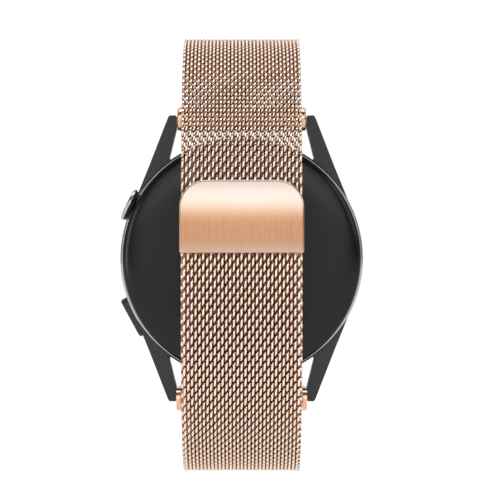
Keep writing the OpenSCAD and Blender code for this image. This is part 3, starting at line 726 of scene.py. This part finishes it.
def crown_part(outline):
    """An outline of (radius, distance from the case's middle), turned on the crown's axis."""
    bm = bmesh.new()
    corners = [bm.verts.new((radius, 0, out)) for radius, out in outline]
    edges = [bm.edges.new((a, b)) for a, b in zip(corners, corners[1:])]
    bmesh.ops.spin(bm, geom=corners + edges, axis=(0, 0, 1), cent=(0, 0, 0), dvec=(0, 0, 0),
                   angle=2 * math.pi, steps=CROWN_STEPS, use_merge=True)
    bmesh.ops.transform(bm, matrix=beside_case(CROWN_ANGLE), verts=bm.verts)
    return bm


barrel_outline = [(0, 17.05), (0.72, 17.05), (0.72, 20.35), (2.45, 20.35), (2.58, 20.42),
                  (2.62, 20.55), (2.64, 21.1), (0, 21.1)]
crown_barrel = finished_piece("crown_barrel", crown_part(barrel_outline),
                              "crown_black")
ring_outline = [(0, 20.98), (2.68, 20.98), (2.80, 21.01), (2.88, 21.1), (2.9, 21.24), (2.87, 21.4),
                (2.78, 21.55), (2.62, 21.66), (2.42, 21.69), (2.32, 21.62), (0, 21.62)]
crown_ring = finished_piece("crown_ring", crown_part(ring_outline),
                            "polished_dark", 50)
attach(crown_barrel, "crown")
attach(crown_ring, "crown")
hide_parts("crown_knob")

# %% [markdown]
# ## Softened edges
# The machined parts come from the CAD with knife-sharp edges. Real metal edges are broken by a
# small round that catches a line of light. Each of these parts is copied, cleaned and bevelled.


# %% Softened copies
CAD_MERGE_WITHIN = 0.001
FLAT_WITHIN = math.radians(1)


def merged_copy(node_name):
    """A CAD node's mesh as a bmesh in millimetres, with its loose triangles joined."""
    bm = bmesh.new()
    bm.from_mesh(nodes[node_name].data)
    bmesh.ops.transform(bm, matrix=Matrix.Scale(1 / MM, 4) @ nodes[node_name].matrix_world,
                        verts=bm.verts)
    bmesh.ops.remove_doubles(bm, verts=bm.verts, dist=CAD_MERGE_WITHIN)
    return bm


def softened(node_name, body, offset, least_angle=40, segments=2):
    """A copy of a CAD node with its sharp edges rounded, in place of the node."""
    bm = merged_copy(node_name)
    bmesh.ops.dissolve_limit(bm, angle_limit=FLAT_WITHIN, verts=bm.verts, edges=bm.edges)
    sharp = [e for e in bm.edges
             if len(e.link_faces) == 2 and e.calc_face_angle(0) > math.radians(least_angle)]
    bmesh.ops.bevel(bm, geom=sharp, affect="EDGES", offset=offset, segments=segments, profile=0.5,
                    material=-1, clamp_overlap=True)
    slot = slot_of[node_name]
    piece = finished_piece("soft_" + node_name, bm, slot)
    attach(piece, body)
    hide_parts(node_name)
    return piece


softened("slot_frame", "slot_frame", 0.3, 60, 3)
softened("middle_case", "case", 0.12)
softened("side_button_cap", "side_button", 0.15)

# %% [markdown]
# The coil springs inside the two spring bars shorten when a release lever is pulled. Each one is
# copied from its CAD node, given its finish and baked in place.

# %% Springs in the spring bars
for end, parent, side in (("upper", "upper_strap", 1), ("lower", "slot_frame", -1)):
    node_name = end + "_bar_spring"
    slot = slot_of[node_name]
    spring = finished_piece(end + "_spring_coil", merged_copy(node_name), slot)
    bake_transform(spring)
    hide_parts(node_name)

# %% [markdown]
# ## Clasp tab
# The tab is a pressed cover over the clasp's magnet. Its lower half is flat and its top leans
# back a little, which is why the top catches the light; a pale painted highlight is added there and
# along the lip. It starts as one face with two rounded corners, gets its thickness, is cut into
# strips, and is then bent by moving each strip back.

# %% Lean and painted highlight of the clasp tab
tab_low, tab_high = (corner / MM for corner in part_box("tab_cover"))
# the top leans back above one height and the lip below another, each on its own radius
TAB_LEAN_FROM, TAB_LEAN_RADIUS = 4.6, 26.0
TAB_LIP_FROM, TAB_LIP_RADIUS = 2.6, 40.0
# the brushed tone fades out into the painted highlight from the first height up to the second, and
# by half down the lip
PAINTED_HIGHLIGHT_SPAN = 5.4, 10.4
LIP_HEIGHT, LIP_UNHIGHLIGHTED = 2.2, 0.45


def bent_depth(height):
    """How far back the tab's face lies at a height, in millimetres."""
    above, below = max(0.0, height - TAB_LEAN_FROM), max(0.0, TAB_LIP_FROM - height)
    return above ** 2 / (2 * TAB_LEAN_RADIUS) + below ** 2 / (2 * TAB_LIP_RADIUS)


def unhighlighted_share(height):
    """How much of the brushed tone shows at a height, from 0 to 1; the rest is painted highlight."""
    leaning = (PAINTED_HIGHLIGHT_SPAN[1] - height) / (PAINTED_HIGHLIGHT_SPAN[1] - PAINTED_HIGHLIGHT_SPAN[0])
    lip = LIP_UNHIGHLIGHTED + (1 - LIP_UNHIGHLIGHTED) * (height - tab_low.z) / LIP_HEIGHT
    return max(0.0, min(1.0, leaning, lip))


print("the tab's top lies back by", round(bent_depth(tab_high.z), 2), "mm")


# %% Clasp tab
# size and segments of the rounds: the two top corners, the two lower corners and the edges
TOP_ROUND, LOW_ROUND, EDGE_ROUND = (4.1, 14), (0.35, 3), (0.28, 4)
TAB_STRIPS = 28
SAME_DEPTH = 1e-6


def clasp_tab():
    """The tab as one object, with the share of its brushed tone against the painted highlight stored
    on its points as flat.
    """
    bm = bmesh.new()
    corners = [bm.verts.new((x, tab_low.y, z)) for x, z in (
        (tab_low.x, tab_low.z), (tab_high.x, tab_low.z),
        (tab_high.x, tab_high.z), (tab_low.x, tab_high.z))]
    bm.faces.new(corners)
    for pair, (offset, segments) in ((corners[2:], TOP_ROUND), (corners[:2], LOW_ROUND)):
        bmesh.ops.bevel(bm, geom=pair, affect="VERTICES", offset=offset, segments=segments,
                        profile=0.5, material=-1)
    walls = bmesh.ops.extrude_face_region(bm, geom=bm.faces[:])
    moved = [v for v in walls["geom"] if isinstance(v, bmesh.types.BMVert)]
    bmesh.ops.translate(bm, verts=moved, vec=(0, tab_high.y - tab_low.y, 0))
    bmesh.ops.recalc_face_normals(bm, faces=bm.faces)
    rims = [e for e in bm.edges if abs(e.verts[0].co.y - e.verts[1].co.y) < SAME_DEPTH]
    bmesh.ops.bevel(bm, geom=rims, affect="EDGES", offset=EDGE_ROUND[0], segments=EDGE_ROUND[1],
                    profile=0.5, material=-1, clamp_overlap=True)
    for cut in range(1, TAB_STRIPS):
        height = tab_low.z + cut * (tab_high.z - tab_low.z) / TAB_STRIPS
        bmesh.ops.bisect_plane(bm, geom=bm.verts[:] + bm.edges[:] + bm.faces[:],
                               plane_co=(0, 0, height), plane_no=(0, 0, 1))
    for vert in bm.verts:
        front = (tab_high.y - vert.co.y) / (tab_high.y - tab_low.y)
        vert.co.y += front * bent_depth(vert.co.z)
    # flat holds the share of the brushed tone; where it falls, the pale painted highlight shows
    flat = [unhighlighted_share(vert.co.z) for vert in bm.verts]
    bmesh.ops.scale(bm, verts=bm.verts, vec=(MM, MM, MM))
    mesh = bpy.data.meshes.new("clasp_tab")
    bm.to_mesh(mesh)
    bm.free()
    mesh.attributes.new("flat", "FLOAT", "POINT").data.foreach_set("value", flat)
    mesh.shade_smooth()
    mesh.materials.append(finishes["rose_gold_brushed"])
    return bpy.data.objects.new("clasp_tab", mesh)


tab = clasp_tab()
scene.collection.objects.link(tab)
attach(tab, "tail_end")
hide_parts("tab_cover")
print("clasp tab faces:", len(tab.data.polygons))
